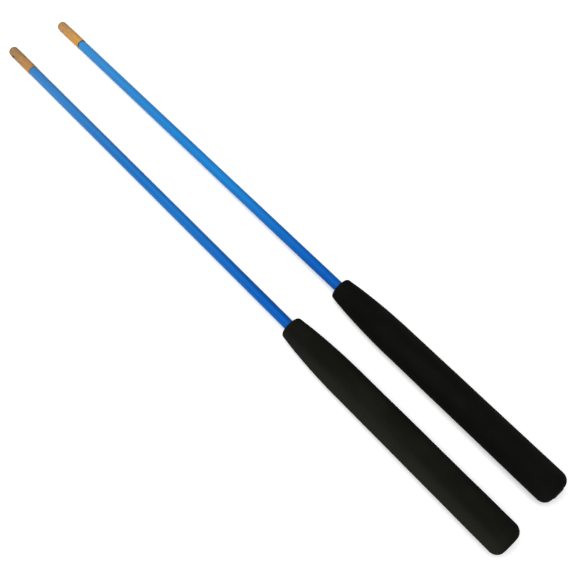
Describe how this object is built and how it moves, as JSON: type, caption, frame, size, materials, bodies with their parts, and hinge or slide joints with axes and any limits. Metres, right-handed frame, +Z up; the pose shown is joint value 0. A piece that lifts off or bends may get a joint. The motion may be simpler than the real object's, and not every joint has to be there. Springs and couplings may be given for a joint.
{
  "type": "foam-grip hand sticks",
  "caption": "Slim blue tube hand sticks, each with a tapered black foam grip and a wooden tip that is drilled across for a cord.",
  "frame": {"origin": "on the surface that the sticks lie on, in the middle of the pair's box", "axes": "+X along the sticks from the tips to the grips, +Y from the left stick to the right stick, +Z up"},
  "size_m": [0.43, 0.057, 0.0212],
  "materials": {
    "bare_wood": "matte",
    "blue_fibreglass": "satin",
    "black_foam": "matte",
    "black_vinyl": "matte"
  },
  "bodies": {
    "left_stick": {"left_tip": "bare_wood", "left_tube": "blue_fibreglass", "left_grip": "black_foam", "left_butt_cap": "black_vinyl"},
    "right_stick": {"right_tip": "bare_wood", "right_tube": "blue_fibreglass", "right_grip": "black_foam", "right_butt_cap": "black_vinyl"}
  },
  "joints": [
    {"name": "sticks_apart", "type": "slide", "parent": "left_stick", "child": "right_stick", "axis": [0, 1, 0], "range_m": [-0.0185, 0.4]}
  ]
}
